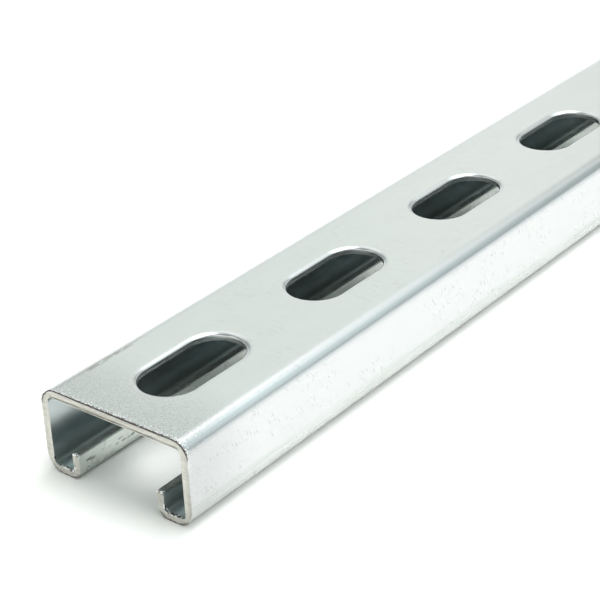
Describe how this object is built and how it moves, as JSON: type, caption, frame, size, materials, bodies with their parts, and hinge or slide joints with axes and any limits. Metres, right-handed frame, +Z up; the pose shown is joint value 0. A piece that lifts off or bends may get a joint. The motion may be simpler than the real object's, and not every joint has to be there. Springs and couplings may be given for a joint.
{
  "type": "strut channel",
  "caption": "Shallow slotted strut channel, a metal strip bent into a channel with two inturned lips and a row of round-ended slots along its back.",
  "frame": {"origin": "the floor plane under the lips, in the middle of the stock's length and width", "axes": "+X along the stock, +Y across it, +Z up from the lips to the slotted back"},
  "size_m": [0.3048, 0.0412, 0.0206],
  "materials": {
    "strut_metal": "bright cool-grey metal with a fine satin grain, brighter bends, fine specks and scuffs along the side walls, and plain sheared edges at the cut ends and round the slots"
  },
  "bodies": {
    "root": {"strut_channel": "strut_metal"}
  },
  "joints": []
}
